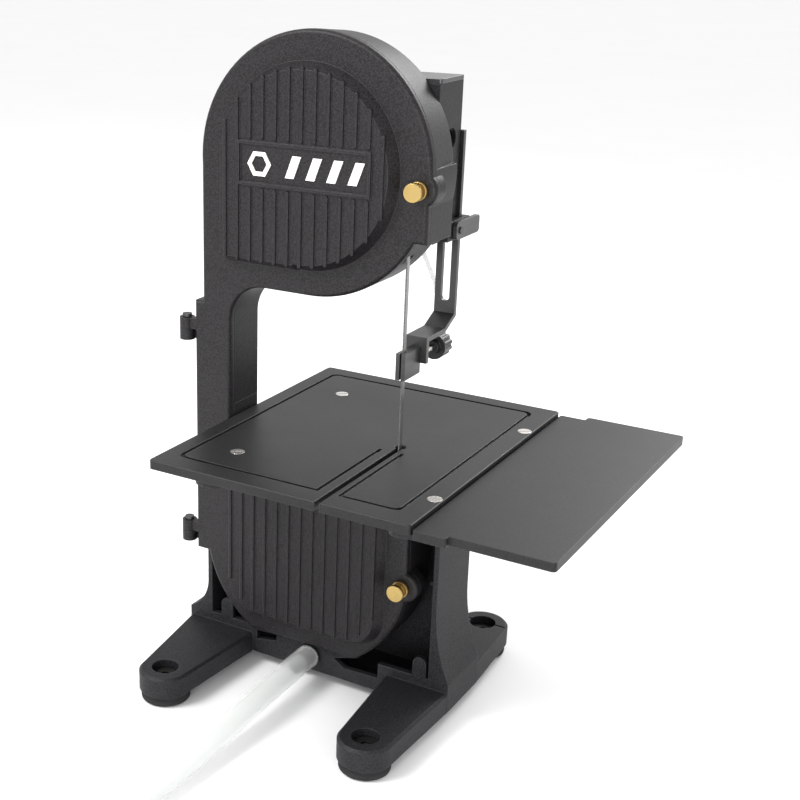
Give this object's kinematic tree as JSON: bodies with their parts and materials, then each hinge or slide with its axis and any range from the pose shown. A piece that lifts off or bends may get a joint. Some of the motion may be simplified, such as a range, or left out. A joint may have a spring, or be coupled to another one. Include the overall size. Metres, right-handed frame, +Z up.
{
  "type": "trim saw",
  "caption": "Bench-top wet band saw for trimming stone: C frame on footed base, two wheels, hinged ribbed front cover, table with extension, blade guide, water tank and drain hose.",
  "frame": {"origin": "on the floor at the centre of the four bench-bolt holes", "axes": "+Z up, +X towards the extension table, -Y towards the user at the front cover"},
  "size_m": [0.3578, 0.6475, 0.513],
  "materials": {
    "cover_plastic": "fine moulded texture, slightly warm black, low sheen",
    "frame_plastic": "moulded black plastic with a fine texture and soft satin edges",
    "table_plastic": "satin black moulding, machined flat on top",
    "motor_plastic": "moulded black plastic, fine texture",
    "lid_plastic": "glossy black",
    "knob_plastic": "satin black, ribbed",
    "badge_white": "white raised emblem",
    "blade_steel": "thin spring steel with a gritted front edge",
    "steel": "turned and ground steel",
    "black_steel": "black painted bar, worn bright on its edges",
    "nickel": "nickel plated",
    "brass": "turned brass",
    "aluminium": "cast and turned",
    "rubber": "moulded rubber",
    "tyre_rubber": "polyurethane wheel tyre",
    "clear_vinyl": "clear flexible tube",
    "tank_plastic": "clear moulded tank"
  },
  "bodies": {
    "root": {"base": "frame_plastic", "foot_pads": "rubber", "foot_washers": "black_steel", "drain_spout": "knob_plastic", "drain_hose": "clear_vinyl", "lower_housing": "frame_plastic", "upper_frame": "frame_plastic", "column_splice": "steel", "frame_screws": "steel", "hinge_pins": "black_steel", "table_frame": "frame_plastic", "table": "table_plastic", "table_screws": "nickel", "extension_table": "table_plastic", "extension_screws": "nickel", "carriage_cover": "steel", "tension_spring": "steel", "lower_bearings": "steel", "blade": "blade_steel", "drive_belt": "rubber", "motor": "aluminium", "motor_mount": "steel", "motor_screws": "steel", "motor_cover": "motor_plastic", "motor_cover_screws": "steel", "switch_housing": "knob_plastic", "power_inlet": "knob_plastic", "guide_bracket": "frame_plastic", "lower_blade_guide": "black_steel", "reservoir": "tank_plastic", "drip_valve": "brass", "drip_tube": "clear_vinyl"},
    "cover": {"front_cover": "cover_plastic", "cover_badge": "badge_white"},
    "upper_thumb": {"upper_thumb_screw": "brass"},
    "lower_thumb": {"lower_thumb_screw": "brass"},
    "carriage": {"tension_carriage": "aluminium", "upper_axle": "steel", "upper_axle_nut": "nickel"},
    "upper_wheel_set": {"upper_wheel": "aluminium", "upper_tyre": "tyre_rubber", "upper_bearings": "steel"},
    "lower_wheel_set": {"lower_wheel": "aluminium", "lower_tyre": "tyre_rubber", "lower_shaft": "steel", "lower_wheel_nut": "nickel", "driven_pulley": "aluminium"},
    "rotor": {"motor_shaft": "steel", "motor_pulley": "aluminium"},
    "tension_screw": {"tension_knob": "knob_plastic", "tension_rod": "steel"},
    "guide": {"guide_bar": "black_steel", "guide_block": "black_steel", "guide_nut": "nickel"},
    "guide_knob_set": {"guide_screw": "nickel", "guide_knob": "knob_plastic"},
    "clamp_lever": {"guide_clamp_lever": "black_steel"},
    "tank_lid": {"reservoir_lid": "lid_plastic"},
    "valve_knob": {"drip_valve_knob": "knob_plastic"},
    "rocker": {"rocker_switch": "knob_plastic"}
  },
  "joints": [
    {"name": "cover_hinge", "type": "hinge", "parent": "root", "child": "cover", "pos_m": [-0.123, -0.0215, 0.195], "axis": [0, 0, -1], "range_deg": [0, 110]},
    {"name": "upper_thumb_turn", "type": "hinge", "parent": "cover", "child": "upper_thumb", "pos_m": [0.075, -0.0245, 0.41], "axis": [0, -1, 0], "continuous": true},
    {"name": "lower_thumb_turn", "type": "hinge", "parent": "cover", "child": "lower_thumb", "pos_m": [0.075, -0.0245, 0.10812], "axis": [0, -1, 0], "continuous": true},
    {"name": "lower_wheel_spin", "type": "hinge", "parent": "root", "child": "lower_wheel_set", "pos_m": [-0.013, -0.011, 0.11912], "axis": [0, 1, 0], "continuous": true},
    {"name": "tension_slide", "type": "slide", "parent": "root", "child": "carriage", "axis": [0, 0, 1], "range_m": [-0.006, 0]},
    {"name": "upper_wheel_spin", "type": "hinge", "parent": "carriage", "child": "upper_wheel_set", "pos_m": [-0.013, -0.011, 0.417], "axis": [0, 1, 0], "continuous": true},
    {"name": "motor_spin", "type": "hinge", "parent": "root", "child": "rotor", "pos_m": [-0.013, 0.05, 0.05812], "axis": [0, 1, 0], "continuous": true},
    {"name": "tension_turn", "type": "hinge", "parent": "root", "child": "tension_screw", "pos_m": [-0.013, 0.0278, 0.477], "axis": [0, 0, 1], "range_deg": [0, 1730]},
    {"name": "guide_slide", "type": "slide", "parent": "root", "child": "guide", "axis": [0, 0, 1], "range_m": [-0.04, 0.045]},
    {"name": "guide_knob_turn", "type": "hinge", "parent": "guide", "child": "guide_knob_set", "pos_m": [0.062, 0.0375, 0.281], "axis": [0, 1, 0], "continuous": true},
    {"name": "clamp_lever_turn", "type": "hinge", "parent": "root", "child": "clamp_lever", "pos_m": [0.075, 0.0415, 0.371], "axis": [1, 0, 0], "range_deg": [-80, 0]},
    {"name": "lid_lift", "type": "slide", "parent": "root", "child": "tank_lid", "axis": [0, 0, 1], "range_m": [0, 0.03]},
    {"name": "drip_valve_turn", "type": "hinge", "parent": "root", "child": "valve_knob", "pos_m": [0.032, 0.0355, 0.435], "axis": [0, 1, 0], "range_deg": [0, 90]},
    {"name": "rocker_tilt", "type": "hinge", "parent": "root", "child": "rocker", "pos_m": [-0.059, 0.0838, 0.13312], "axis": [0, 0, 1], "range_deg": [-16, 0]}
  ],
  "couplings": [
    {"joint": "upper_wheel_spin", "follows": "lower_wheel_spin", "ratio": 1},
    {"joint": "motor_spin", "follows": "lower_wheel_spin", "ratio": 2.3913},
    {"joint": "tension_turn", "follows": "tension_slide", "rad_per_m": -5026.5}
  ]
}
